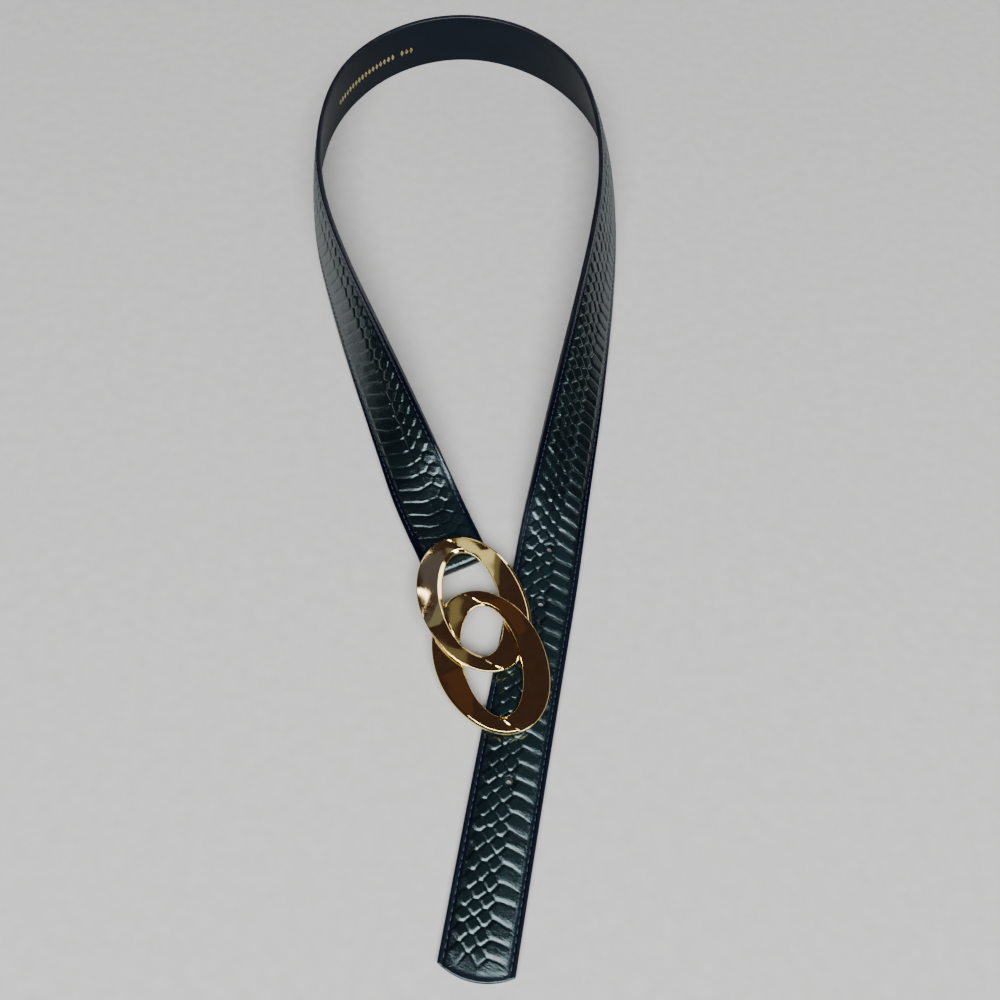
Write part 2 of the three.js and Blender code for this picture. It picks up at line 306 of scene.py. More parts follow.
def strap_route():
    """The course, then the fold round the bar and the end turned back, as one run."""
    along, centre, across, out = strap_course()
    top_across = across[-1]
    top_out = out[-1]
    top_ahead = np.cross(top_across, top_out)
    bar = centre[-1] - FOLD_INSIDE * top_out
    turns = np.linspace(0, math.pi, 60)[1:]
    fold_out = np.cos(turns)[:, None] * top_out + np.sin(turns)[:, None] * top_ahead
    fold_centre = bar + FOLD_INSIDE * fold_out
    fold_along = STRAP_LENGTH + FOLD_INSIDE * turns
    back = np.arange(1, TURN_BACK + 0.5, 1.0)
    opening = smooth(1 - back / TURN_BACK_OPENING)
    depth = GAP + (2 * FOLD_INSIDE - GAP) * opening
    index = np.round((STRAP_LENGTH - back) / FINE).astype(int)
    back_out = -out[index]
    back_centre = centre[index] + depth[:, None] * back_out
    back_along = STRAP_LENGTH + FOLD_LENGTH + back
    return (
        np.concatenate([along, fold_along, back_along]),
        np.concatenate([centre, fold_centre, back_centre]),
        np.concatenate([across, np.repeat(top_across[None], len(turns), 0), across[index]]),
        np.concatenate([out, fold_out, back_out]),
    )


ROUTE_ALONG, ROUTE_CENTRE, ROUTE_ACROSS, ROUTE_OUT = strap_route()


def on_route(values, along):
    return np.stack([np.interp(along, ROUTE_ALONG, values[:, k]) for k in range(3)], axis=-1)


def frame_shift():
    """From the course's own origin to the part's: the stud stands in its hole in both."""
    lowest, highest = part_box("hook_stud")
    middle = (lowest + highest) / 2 / MM
    hole = on_route(ROUTE_CENTRE, np.array(HOLES[STUD_HOLE]))
    return np.array([middle.x - hole[0], middle.y - hole[1], 0.0])


SHIFT = frame_shift()


def strap_points(along, across, height):
    """Points in millimetres in the part's frame, for arrays of places on the strap."""
    centre = on_route(ROUTE_CENTRE, along)
    sideways = on_route(ROUTE_ACROSS, along)
    out = unit(on_route(ROUTE_OUT, along))
    return centre + sideways * across[..., None] + out * height[..., None] + SHIFT


def tip_sag(across):
    return TIP_RADIUS - np.sqrt(TIP_RADIUS**2 - across**2)


def behind_tip(along, across):
    """Distance along the strap once its end is rounded."""
    return along + tip_sag(across) * np.clip(1 - along / TIP_BLEND, 0, 1) ** 2


# Meshes
def make_object(name, points, faces, material, smooth_angle=None):
    mesh = bpy.data.meshes.new(name)
    mesh.from_pydata((np.asarray(points) * MM).tolist(), [], faces)
    mesh.update()
    obj = bpy.data.objects.new(name, mesh)
    bpy.context.scene.collection.objects.link(obj)
    mesh.polygons.foreach_set("use_smooth", np.ones(len(mesh.polygons), bool))
    if smooth_angle is not None:
        mesh.set_sharp_from_angle(angle=math.radians(smooth_angle))
    mesh.materials.append(material)
    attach(obj, "root")
    return obj


def add_attribute(obj, name, values):
    attribute = obj.data.attributes.new(name, "FLOAT_VECTOR", "POINT")
    attribute.data.foreach_set("vector", np.asarray(values, np.float32).ravel())


def slab(top, bottom, kept):
    """Closed skin of two sheets of points. The lower one keeps only some columns between its ends."""
    rows, columns = top.shape[:2]
    points = list(top.reshape(-1, 3))
    upper = np.arange(rows * columns).reshape(rows, columns)
    corners = [upper[:-1, :-1], upper[1:, :-1], upper[1:, 1:], upper[:-1, 1:]]
    faces = np.stack(corners, axis=-1).reshape(-1, 4).tolist()
    lower = []
    for i in range(rows):
        wanted = range(columns) if i in (0, rows - 1) else kept
        row = {}
        for j in wanted:
            row[j] = len(points)
            points.append(bottom[i, j])
        lower.append(row)
    for i in range(rows - 1):
        for a, b in zip(kept[:-1], kept[1:]):
            near = [lower[i][j] for j in range(a, b + 1) if j in lower[i]]
            far = [lower[i + 1][j] for j in range(a, b + 1) if j in lower[i + 1]]
            faces.append(near + far[::-1])
        faces.append([upper[i, 0], lower[i][0], lower[i + 1][0], upper[i + 1, 0]])
        last = columns - 1
        faces.append([upper[i + 1, last], lower[i + 1][last], lower[i][last], upper[i, last]])
    for j in range(columns - 1):
        faces.append([upper[0, j + 1], lower[0][j + 1], lower[0][j], upper[0, j]])
        end = rows - 1
        faces.append([upper[end, j], lower[end][j], lower[end][j + 1], upper[end, j + 1]])
    return np.array(points), faces


def tube(rings, closed):
    """Closed skin over rings of points. An open run gets a flat end."""
    count = rings.shape[1]
    faces = []
    last = len(rings) if closed else len(rings) - 1
    for i in range(last):
        here = i * count
        after = ((i + 1) % len(rings)) * count
        for j in range(count):
            k = (j + 1) % count
            faces.append([here + j, after + j, after + k, here + k])
    if not closed:
        faces.append(list(range(count)))
        faces.append([(len(rings) - 1) * count + j for j in range(count - 1, -1, -1)])
    return rings.reshape(-1, 3), faces


# Scales as a height map over the strap
def scale_sites():
    """Small scales, wide scales and the empty places beyond the field: along, across."""
    wide_top = column(WIDE, WIDE_COLUMNS, "top")
    small = []
    beyond = []
    wide = []
    count = int(ROUTE_LENGTH / SCALE_PITCH) + 2
    for row in range(-1, ROWS):
        across = ROW_TOP - ROW_SPACING * row
        for i in range(count):
            scatter = rng.uniform(-SMALL_SCATTER[0], SMALL_SCATTER[0])
            along = ROW_STARTS[row % 2] + SCALE_PITCH * i + scatter
            place = (along, across + rng.uniform(-SMALL_SCATTER[1], SMALL_SCATTER[1]))
            if row < 0:
                beyond.append(place)
            elif across > wide_top(along) + ROW_CLEARANCE:
                small.append(place)
    for i in range(count):
        along = ROW_STARTS[1] + SCALE_PITCH * i
        scatter = rng.uniform(-WIDE_SCATTER, WIDE_SCATTER)
        wide.append((along + scatter, wide_top(along) - WIDE_DROP))
    return np.array(small), np.array(wide), np.array(beyond)


def neighbours(place, sites, reach):
    """Steps from a place to the other sites around it."""
    offset = sites - np.array(place)
    distance = np.linalg.norm(offset, axis=1)
    return offset[(distance > SAME_SITE) & (distance < reach)]


def inside_line(s, w, place, step):
    """Distance inside the line half way from a place to its neighbour."""
    size = np.linalg.norm(step)
    return size / 2 - ((s - place[0]) * step[0] + (w - place[1]) * step[1]) / size


def side_width(step):
    """A scale's side falls over a wide band towards the tip of the strap, a narrow one behind."""
    towards_tip = -step[0] / np.linalg.norm(step)
    return np.interp(towards_tip, [-1, -0.3, 0.3, 1], [BASE_SIDE, BASE_SIDE, TIP_SIDE, TIP_SIDE])


def soft_min(values, softness):
    lowest = np.min(values, axis=0)
    total = sum(np.exp(-(v - lowest) / softness) for v in values)
    return lowest - softness * np.log(total)


def cushion(shares):
    """Rises from 0 at a scale's outline to 1 on its flat, with the corners rounded."""
    inside = np.clip(soft_min(shares, CORNER_ROUNDING), 0, 1)
    return 1 - (1 - inside) ** 2


def window(low, high):
    """Slices of the map between two corners."""
    a = slice(int(max(0, low[0] / MAP_STEP)), int(max(0, high[0] / MAP_STEP)) + 1)
    bottom = int((low[1] + HALF) / MAP_STEP)
    b = slice(max(0, bottom), max(0, int((high[1] + HALF) / MAP_STEP)) + 1)
    return a, b


def lay(maps, where, scale, wide_share):
    """Puts a scale on the maps wherever it stands higher than what is there."""
    height, tone, belly = maps
    held = scale > height[where]
    height[where] = np.where(held, scale, height[where])
    tone[where] = np.where(held, rng.uniform(), tone[where])
    belly[where] = np.where(held, wide_share, belly[where])


def lay_small_scale(maps, warped, spot, sites):
    """A tilted plate, cut half way to each of its neighbours."""
    where = window(spot - SMALL_HALF, spot + SMALL_HALF)
    s = warped[0][where]
    w = warped[1][where]
    if s.size == 0:
        return
    lift = SCALE_HEIGHT * rng.uniform(*SMALL_LIFT)
    lean = rng.normal(0, SMALL_LEAN, 2)
    plate = lift - (PLATE_RISE - lean[0]) * (s - spot[0]) + lean[1] * (w - spot[1])
    near = neighbours(spot, sites, SMALL_REACH)
    shares = [inside_line(s, w, spot, step) / side_width(step) for step in near]
    lay(maps, where, plate * cushion(shares), 0.0)


def lay_wide_scale(maps, warped, wide, index, small, slant):
    """A long plate from its upper end down to the margin, with slanted, bowed sides."""
    along, top = wide[index]
    low = (along - WIDE_AHEAD, FIELD_LOW - WIDE_BELOW)
    high = (along + WIDE_BEHIND, top + WIDE_ABOVE)
    where = window(low, high)
    s = warped[0][where]
    w = warped[1][where]
    if s.size == 0:
        return
    following = wide[index + 1][0] if index + 1 < len(wide) else along + SCALE_PITCH
    preceding = wide[index - 1][0] if index else along - SCALE_PITCH
    below = np.minimum(w - top, 0)
    shear = slant * below - WIDE_BOW * below**2
    upright = math.cos(math.atan(slant))
    ahead_gap = (s - (along + preceding) / 2 - shear) * upright
    behind_gap = ((along + following) / 2 + shear - s) * upright
    down = np.clip((top - w) / (top - FIELD_LOW), 0, 1)
    tip_side = WIDE_TIP_SIDE[0] + (WIDE_TIP_SIDE[1] - WIDE_TIP_SIDE[0]) * down
    lift = WIDE_HEIGHT * rng.uniform(*WIDE_LIFT) - WIDE_FALL * np.maximum(ahead_gap - tip_side, 0)
    foot = (w - FIELD_LOW + FOOT_DROP) / FOOT_SIDE
    shares = [ahead_gap / tip_side, behind_gap / BASE_SIDE, foot]
    for step in neighbours((along, top), small, WIDE_REACH):
        inside = inside_line(s, w, (along, top), step)
        shares.append(np.where(w < top - NECK_DEPTH, CLEAR_OF_NECK, inside / NECK_SIDE))
    lay(maps, where, lift * cushion(shares), 1.0)


def fade_to_margins(height, along, across):
    height *= smooth((FIELD_HIGH - across) / FIELD_EDGE)[None]
    height *= smooth((across - FIELD_LOW) / FIELD_EDGE)[None]
    from_tip = along[:, None] - tip_sag(across)[None]
    height *= smooth((from_tip - FIELD_FROM_TIP) / FIELD_TIP_EDGE)


def press_hole(height, along, across, hole):
    """The scales pressed flat round a hole, with a low rim at its edge."""
    from_edge = np.hypot(along[:, None] - hole, across[None]) - HOLE_RADIUS
    scaled_here = smooth((from_edge - PRESSED_FLAT) / PRESSED_SLOPE)
    rim = RIM_HEIGHT * np.exp(-(((from_edge - RIM_PLACE) / RIM_WIDTH) ** 2))
    return height * scaled_here + rim + PRESSED_LEVEL * (1 - scaled_here)


def scale_map():
    """Height, tone and share of wide scale at every MAP_STEP of the strap."""
    along = np.arange(0, ROUTE_LENGTH + MAP_STEP, MAP_STEP)
    across = np.arange(-HALF, HALF + MAP_STEP, MAP_STEP)
    height = np.zeros((len(along), len(across)))
    tone = np.full(height.shape, 0.5)
    belly = np.zeros(height.shape)
    maps = (height, tone, belly)
    warped_along = along[:, None] + WARP[0] * ripples(height.shape, WARP_LENGTH, SEED + 4)
    warped_across = across[None] + WARP[1] * ripples(height.shape, WARP_LENGTH, SEED + 5)
    warped = (warped_along, warped_across)
    small, wide, beyond = scale_sites()
    sites = np.concatenate([small, wide, beyond])
    for spot in small:
        lay_small_scale(maps, warped, spot, sites)
    slant_at = column(WIDE, WIDE_COLUMNS, "slant")
    for index in range(len(wide)):
        lay_wide_scale(maps, warped, wide, index, small, slant_at(wide[index][0]))
    fade_to_margins(height, along, across)
    for hole in HOLES:
        height = press_hole(height, along, across, hole)
    return soften(height), tone, belly


def soften(values):
    """Rounds the map over about two of its steps each way."""
    kernel = np.array([1, 4, 7, 4, 1]) / 17
    for axis in (0, 1):
        pad = [(2, 2) if k == axis else (0, 0) for k in (0, 1)]
        wide = np.pad(values, pad, mode="edge")
        size = values.shape[axis]
        values = sum(kernel[k] * np.take(wide, np.arange(k, k + size), axis) for k in range(5))
    return values


def ripples(shape, length, seed):
    """Smooth noise of about unit size, its humps about length steps apart."""
    white = np.random.default_rng(seed).normal(size=shape)
    rows = np.fft.fftfreq(shape[0])[:, None] * length
    columns = np.fft.rfftfreq(shape[1])[None] * length
    made = np.fft.irfft2(np.fft.rfft2(white) * np.exp(-4 * (rows**2 + columns**2)), shape)
    return made / made.std()


def unevenness(shape):
    """Low humps over the leather, long ones and short ones."""
    long_humps = ripples(shape, LONG_HUMPS[0], SEED + 1) * LONG_HUMPS[1]
    short_humps = ripples(shape, SHORT_HUMPS[0], SEED + 2) * SHORT_HUMPS[1]
    return long_humps + short_humps


SCALES, TONE, BELLY = scale_map()
UNEVEN = unevenness(SCALES.shape)


def from_map(values, along, across):
    a = np.clip(along / MAP_STEP, 0, values.shape[0] - 1.001)
    b = np.clip((across + HALF) / MAP_STEP, 0, values.shape[1] - 1.001)
    i = a.astype(int)
    j = b.astype(int)
    u = a - i
    v = b - j
    near = values[i, j] * (1 - v) + values[i, j + 1] * v
    far = values[i + 1, j] * (1 - v) + values[i + 1, j + 1] * v
    return near * (1 - u) + far * u


def face_height(from_end, along, across):
    """Top of the outer leather above the seam."""
    share = 1 - (1 - FOLDED_SCALES) * smooth((along - THINNING_FROM) / THINNING_LENGTH)
    width = np.abs(across)
    crown = CROWN * smooth((FIELD_HIGH + 0.3 - width) / CROWN_WIDTH)
    scales = from_map(SCALES, along, across)
    uneven = from_map(UNEVEN, along, across)
    groove = GROOVE_DEPTH * np.exp(-(((width - STITCH_LINE) / GROOVE_WIDTH) ** 2))
    inset = np.minimum(HALF - width, from_end)
    rounded = EDGE_DROP * (1 - np.clip(inset / EDGE_ROUND, 0, 1)) ** 2
    return FACE_TOP + (crown + scales) * share + uneven - groove - rounded


# Materials
def new_material(name):
    material = bpy.data.materials.new(name)
    material.use_nodes = True
    tree = material.node_tree
    return material, tree, tree.nodes["Principled BSDF"]


def node(tree, kind, **values):
    made = tree.nodes.new(kind)
    for key, value in values.items():
        setattr(made, key, value)
    return made


def noise(tree, scale, detail, source, roughness=0.5):
    made = node(tree, "ShaderNodeTexNoise")
    made.inputs["Scale"].default_value = scale
    made.inputs["Detail"].default_value = detail
    made.inputs["Roughness"].default_value = roughness
    tree.links.new(source, made.inputs["Vector"])
    return made.outputs["Fac"]


def ramp(tree, source, stops):
    made = node(tree, "ShaderNodeValToRGB")
    while len(made.color_ramp.elements) < len(stops):
        made.color_ramp.elements.new(0.5)
    for element, (position, colour) in zip(made.color_ramp.elements, stops):
        element.position = position
        element.color = (*colour, 1)
    tree.links.new(source, made.inputs["Fac"])
    return made.outputs["Color"]


def spread(tree, source, low, high, to_low, to_high):
    made = node(tree, "ShaderNodeMapRange")
    tree.links.new(source, made.inputs["Value"])
    made.inputs["From Min"].default_value = low
    made.inputs["From Max"].default_value = high
    made.inputs["To Min"].default_value = to_low
    made.inputs["To Max"].default_value = to_high
    return made.outputs["Result"]


def combine(tree, operation, a, b):
    made = node(tree, "ShaderNodeMath", operation=operation)
    for socket, value in zip(made.inputs, (a, b)):
        if isinstance(value, (int, float)):
            socket.default_value = value
        else:
            tree.links.new(value, socket)
    return made.outputs["Value"]


def blend_colour(tree, share, a, b):
    made = node(tree, "ShaderNodeMix", data_type="RGBA")
    tree.links.new(share, made.inputs["Factor"])
    for socket, value in zip((made.inputs["A"], made.inputs["B"]), (a, b)):
        if isinstance(value, tuple):
            socket.default_value = (*value, 1)
        else:
            tree.links.new(value, socket)
    return made.outputs["Result"]


def bump(tree, height, strength, distance, normal=None):
    made = node(tree, "ShaderNodeBump")
    made.inputs["Strength"].default_value = strength
    made.inputs["Distance"].default_value = distance
    tree.links.new(height, made.inputs["Height"])
    if normal is not None:
        tree.links.new(normal, made.inputs["Normal"])
    return made.outputs["Normal"]


def strap_place(tree):
    """Place on the strap in millimetres, as the meshes carry it: along, across, height."""
    made = node(tree, "ShaderNodeAttribute", attribute_name="strap_place")
    return made.outputs["Vector"]


def parts(tree, source):
    made = node(tree, "ShaderNodeSeparateXYZ")
    tree.links.new(source, made.inputs["Vector"])
    return made.outputs["X"], made.outputs["Y"], made.outputs["Z"]


def scaled(tree, source, factors):
    made = node(tree, "ShaderNodeVectorMath", operation="MULTIPLY")
    tree.links.new(source, made.inputs[0])
    made.inputs[1].default_value = factors
    return made.outputs["Vector"]


def slanted(tree, place, slant, factors):
    """Place with its distance along the strap sheared, then stretched."""
    along, across, _ = parts(tree, place)
    sheared = combine(tree, "ADD", along, combine(tree, "MULTIPLY", across, slant))
    made = node(tree, "ShaderNodeCombineXYZ")
    tree.links.new(combine(tree, "MULTIPLY", sheared, factors[0]), made.inputs["X"])
    tree.links.new(combine(tree, "MULTIPLY", across, factors[1]), made.inputs["Y"])
    return made.outputs["Vector"]


def snakeskin_material():
    """Glossy near-black blue scales, navy margins, fine creases and streaks."""
    material, tree, shader = new_material("snakeskin")
    place = strap_place(tree)
    look = node(tree, "ShaderNodeAttribute", attribute_name="strap_look").outputs["Vector"]
    tone, belly, field = parts(tree, look)
    grain = noise(tree, 2.6, 4, place, 0.6)
    patches = noise(tree, 0.11, 3, place)
    streaks = noise(tree, 1.0, 4, slanted(tree, place, -0.4, (1.3, 0.28)), 0.62)
    plate = ramp(tree, tone, [(0.0, (0.0008, 0.0019, 0.0026)), (1.0, (0.0021, 0.0047, 0.0055))])
    worn = ramp(tree, patches, [(0.35, (0.0009, 0.0024, 0.0032)), (0.7, (0.0023, 0.0044, 0.0050))])
    skin = blend_colour(tree, spread(tree, grain, 0.3, 0.7, 0.15, 0.6), plate, worn)
    colour = blend_colour(tree, field, (0.0004, 0.0008, 0.0035), skin)
    tree.links.new(colour, shader.inputs["Base Color"])
    rough = spread(tree, grain, 0.3, 0.7, 0.13, 0.25)
    facing = node(tree, "ShaderNodeLayerWeight").outputs["Facing"]
    duller = spread(tree, facing, 0.45, 0.85, 0, 0.35)
    tree.links.new(combine(tree, "ADD", rough, duller), shader.inputs["Roughness"])
    shader.inputs["Specular IOR Level"].default_value = 0.5
    shader.inputs["Specular Tint"].default_value = (0.72, 0.95, 1.0, 1)
    shader.inputs["Coat Weight"].default_value = 0.2
    shader.inputs["Coat Roughness"].default_value = 0.1
    sides = spread(tree, parts(tree, place)[2], FACE_TOP + 0.2, FACE_TOP + 0.7, 0.6, 0.35)
    streaked = combine(tree, "MULTIPLY", sides, spread(tree, belly, 0, 1, 0.4, 1.0))
    streak_height = combine(tree, "MULTIPLY", streaks, combine(tree, "MULTIPLY", streaked, field))
    fine = bump(tree, grain, 0.35, 0.00012)
    tree.links.new(bump(tree, streak_height, 0.9, 0.0005, fine), shader.inputs["Normal"])
    return material


def paint_material():
    """Edge paint: dark navy, satin, slightly uneven."""
    material, tree, shader = new_material("edge_paint")
    where = node(tree, "ShaderNodeTexCoord").outputs["Object"]
    uneven = noise(tree, 420, 3, where)
    scuffs = noise(tree, 60, 4, where, 0.7)
    colour = ramp(tree, scuffs, [(0.35, (0.0015, 0.0017, 0.004)), (0.75, (0.0038, 0.0044, 0.0085))])
    tree.links.new(colour, shader.inputs["Base Color"])
    tree.links.new(spread(tree, uneven, 0.3, 0.7, 0.32, 0.55), shader.inputs["Roughness"])
    tree.links.new(bump(tree, uneven, 0.4, 0.00012), shader.inputs["Normal"])
    return material


def lining_material():
    """Smooth navy lining leather with pores, fine creases across it and a satin finish."""
    material, tree, shader = new_material("lining_leather")
    place = strap_place(tree)
    pores = noise(tree, 3.2, 4, place, 0.65)
    creases = noise(tree, 1.0, 3, scaled(tree, place, (0.9, 0.12, 0.1)), 0.6)
    clouds = noise(tree, 0.07, 3, place)
    colour = ramp(tree, clouds, [(0.3, (0.0006, 0.0025, 0.0057)), (0.7, (0.0010, 0.0035, 0.0078))])
    tree.links.new(colour, shader.inputs["Base Color"])
    tree.links.new(spread(tree, pores, 0.3, 0.7, 0.42, 0.58), shader.inputs["Roughness"])
    shader.inputs["Specular IOR Level"].default_value = 0.15
    fine = bump(tree, pores, 0.3, 0.0001)
    tree.links.new(bump(tree, creases, 0.35, 0.00025, fine), shader.inputs["Normal"])
    return material


def thread_material():
    """Dark navy waxed thread with its twist."""
    material, tree, shader = new_material("thread")
    where = node(tree, "ShaderNodeTexCoord").outputs["Object"]
    twist = noise(tree, 1500, 2, where)
    colour = ramp(tree, twist, [(0.3, (0.003, 0.005, 0.010)), (0.7, (0.008, 0.012, 0.021))])
    tree.links.new(colour, shader.inputs["Base Color"])
    tree.links.new(spread(tree, twist, 0.3, 0.7, 0.4, 0.6), shader.inputs["Roughness"])
    tree.links.new(bump(tree, twist, 0.5, 0.0001), shader.inputs["Normal"])
    return material


def gold_material():
    """Polished yellow gold plating with faint waves, handling marks and fine scratches."""
    material, tree, shader = new_material("gold_plating")
    where = node(tree, "ShaderNodeTexCoord").outputs["Object"]
    waves = noise(tree, 55, 2, where)
    haze = noise(tree, 130, 4, where, 0.6)
    scratches = noise(tree, 1.0, 3, scaled(tree, where, (380, 2600, 900)), 0.6)
    colour = ramp(tree, haze, [(0.3, (0.88, 0.67, 0.26)), (0.7, (0.93, 0.73, 0.32))])
    tree.links.new(colour, shader.inputs["Base Color"])
    shader.inputs["Metallic"].default_value = 1.0
    soil = spread(tree, haze, 0.35, 0.75, 0.04, 0.10)
    tree.links.new(soil, shader.inputs["Roughness"])
    fine = bump(tree, scratches, 0.12, 0.00002)
    tree.links.new(bump(tree, waves, 0.03, 0.0003, fine), shader.inputs["Normal"])
    return material


def foil_material():
    """Thin gold foil pressed on the lining, worn through in places."""
    material, tree, shader = new_material("foil")
    where = node(tree, "ShaderNodeTexCoord").outputs["Object"]
    worn = noise(tree, 900, 3, where, 0.7)
    colour = ramp(tree, worn, [(0.38, (0.10, 0.085, 0.04)), (0.55, (0.55, 0.46, 0.20))])
    tree.links.new(colour, shader.inputs["Base Color"])
    shader.inputs["Metallic"].default_value = 0.8
    tree.links.new(spread(tree, worn, 0.3, 0.7, 0.55, 0.3), shader.inputs["Roughness"])
    return material


SNAKESKIN = snakeskin_material()
EDGE_PAINT = paint_material()
LINING_LEATHER = lining_material()
THREAD = thread_material()
GOLD = gold_material()
FOIL = foil_material()


# Strap
def strap_columns():
    """Places across the strap, closer together at its rounded edges."""
    flat = np.arange(0, 13.5, STEP)
    edge = [13.8, 14.02, 14.16, 14.25, HALF]
    right = np.concatenate([flat, edge])
    return np.concatenate([-right[:0:-1], right])


def strap_face(name, start, end):
    """One stretch of the outer leather with its scales."""
    across = strap_columns()
    rows = np.arange(start, min(end, STRAP_LENGTH) + STEP / 2, STEP)
    if start == 0:
        rows = np.concatenate([[0, 0.05, 0.14, 0.26], rows[1:]])
    if end > STRAP_LENGTH:
        fold = np.linspace(STRAP_LENGTH, STRAP_LENGTH + FOLD_LENGTH, 15)[1:]
        back = np.arange(1, TURN_BACK + 0.5, 1.0) + STRAP_LENGTH + FOLD_LENGTH
        rows = np.concatenate([rows, fold, back])
    from_end, side = np.meshgrid(rows, across, indexing="ij")
    along = behind_tip(from_end, side)
    height = face_height(from_end, along, side)
    top = strap_points(along, side, height)
    bottom = strap_points(along, side, 0 * height)
    points, faces = slab(top, bottom, [0, len(across) - 1])
    obj = make_object(name, points, faces, SNAKESKIN, 65)
    width = np.abs(side)
    field = smooth((FIELD_HIGH + 0.2 - width) / 0.8)
    field *= smooth((from_end - 2) / 2)
    tone = from_map(TONE, along, side)
    belly = from_map(BELLY, along, side)
    place = np.stack([along, side, height], axis=-1).reshape(-1, 3)
    look = np.stack([tone, belly, field], axis=-1).reshape(-1, 3)
    extra = len(points) - len(place)
    add_attribute(obj, "strap_place", np.concatenate([place, np.zeros((extra, 3))]))
    add_attribute(obj, "strap_look", np.concatenate([look, np.zeros((extra, 3))]))
    return obj


def hole_cutter(along, lower_radius):
    levels = np.array([-CUT_REACH, CUT_REACH])
    ends = strap_points(np.array([along, along]), np.zeros(2), levels) * MM
    axis = Vector(ends[1] - ends[0])
    bm = bmesh.new()
    bmesh.ops.create_cone(
        bm,
        cap_ends=True,
        segments=56,
        radius1=lower_radius * MM,
        radius2=HOLE_RADIUS * MM,
        depth=axis.length,
    )
    turn = Vector((0, 0, 1)).rotation_difference(axis).to_matrix().to_4x4()
    middle = Vector((ends[0] + ends[1]) / 2)
    bmesh.ops.transform(bm, matrix=Matrix.Translation(middle) @ turn, verts=bm.verts)
    mesh = bpy.data.meshes.new("hole_cutter")
    bm.to_mesh(mesh)
    bm.free()
    cutter = bpy.data.objects.new("hole_cutter", mesh)
    bpy.context.scene.collection.objects.link(cutter)
    return cutter


def strap_marks(obj):
    """The places and looks on a mesh, by name."""
    marks = {}
    for attribute in obj.data.attributes:
        if attribute.name.startswith("strap_"):
            values = np.zeros(len(attribute.data) * 3, np.float32)
            attribute.data.foreach_get("vector", values)
            marks[attribute.name] = values.reshape(-1, 3)
    return marks


def punch_holes(obj):
    """The holes narrow downwards, but for the one that holds the stud. Cutting drops
    the marks, so each point takes them again from the nearest point before the cut."""
    marks = strap_marks(obj)
    before = KDTree(len(obj.data.vertices))
    for vertex in obj.data.vertices:
        before.insert(vertex.co, vertex.index)
    before.balance()
    for index, along in enumerate(HOLES):
        cutter = hole_cutter(along, HOLE_RADIUS if index == STUD_HOLE else HOLE_BOTTOM)
        cut = obj.modifiers.new("hole", "BOOLEAN")
        cut.operation = "DIFFERENCE"
        cut.solver = "EXACT"
        cut.object = cutter
        bpy.context.view_layer.objects.active = obj
        bpy.ops.object.modifier_apply(modifier=cut.name)
        bpy.data.objects.remove(cutter)
    nearest = [before.find(vertex.co)[1] for vertex in obj.data.vertices]
    for name, values in marks.items():
        obj.data.attributes.remove(obj.data.attributes[name])
        add_attribute(obj, name, values[nearest])


def strap_lining():
    """The lining, with its lower side towards the waist."""
    bevel = 0.25
    inner = np.linspace(0, 13.9, 9)
    right = np.concatenate([inner, [14.1, 14.24, HALF]])
    across = np.concatenate([-right[:0:-1], right])
    rows = np.concatenate([[0, 0.1, 0.25], np.arange(1.5, LINING_END + 0.1, 1.5), [LINING_END]])
    from_end, side = np.meshgrid(rows, across, indexing="ij")
    along = behind_tip(from_end, side)
    inset = np.minimum(HALF - np.abs(side), from_end)
    rounded = bevel * (1 - np.clip(inset / bevel, 0, 1)) ** 2
    sag = from_map(UNEVEN, along, side) * 1.2
    top = strap_points(along, side, -GAP - rounded)
    bottom = strap_points(along, side, -BED + rounded + np.abs(sag) * np.clip(inset, 0, 1))
    points, faces = slab(top, bottom, list(range(len(across))))
    obj = make_object("strap_lining_leather", points, faces, LINING_LEATHER, 60)
    flat = np.stack([along.reshape(-1), side.reshape(-1), 0 * side.reshape(-1)], axis=1)
    add_attribute(obj, "strap_place", np.concatenate([flat, flat]))
    punch_holes(obj)
    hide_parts("strap_lining")
    return obj


def outline_run():
    """Places round the strap's edge: along one side, round the tip, back along the other."""
    end = STRAP_LENGTH - 18
    side = np.concatenate([np.arange(end, 12, -1.5), [10.0, 8.0, 6.5, 5.3]])
    run = [(t, HALF, 0.0, 1.0) for t in side]
    corner = math.asin(HALF / TIP_RADIUS)
    for turn in np.linspace(0, math.pi / 2 - corner, 6):
        run.append((TIP_SAG, HALF, -math.sin(turn), math.cos(turn)))
    for angle in np.linspace(corner, -corner, 33)[1:-1]:
        along = TIP_RADIUS * (1 - math.cos(angle))
        run.append((along, TIP_RADIUS * math.sin(angle), -math.cos(angle), math.sin(angle)))
    mirrored = [(t, -w, ahead, -sideways) for t, w, ahead, sideways in run]
    middle = len(side) + 6
    return np.array(run + mirrored[:middle][::-1])


def painted_edge():
    """A thin rounded skin of paint that closes the seam all round."""
    run = outline_run()
    along = run[:, 0]
    centre = strap_points(along, run[:, 1], 0 * along)
    before = on_route(ROUTE_CENTRE, np.maximum(along - 0.5, 0))
    ahead_here = unit(on_route(ROUTE_CENTRE, along + 0.5) - before)
    sideways = on_route(ROUTE_ACROSS, along)
    out = on_route(ROUTE_OUT, along)
    outward = ahead_here * run[:, 2:3] + sideways * run[:, 3:4]
    rings = np.stack([centre + outward * o + out * n for o, n in PAINT_SECTION], axis=1)
    points, faces = tube(rings, False)
    return make_object("strap_edge_paint", points, faces, EDGE_PAINT, 60)


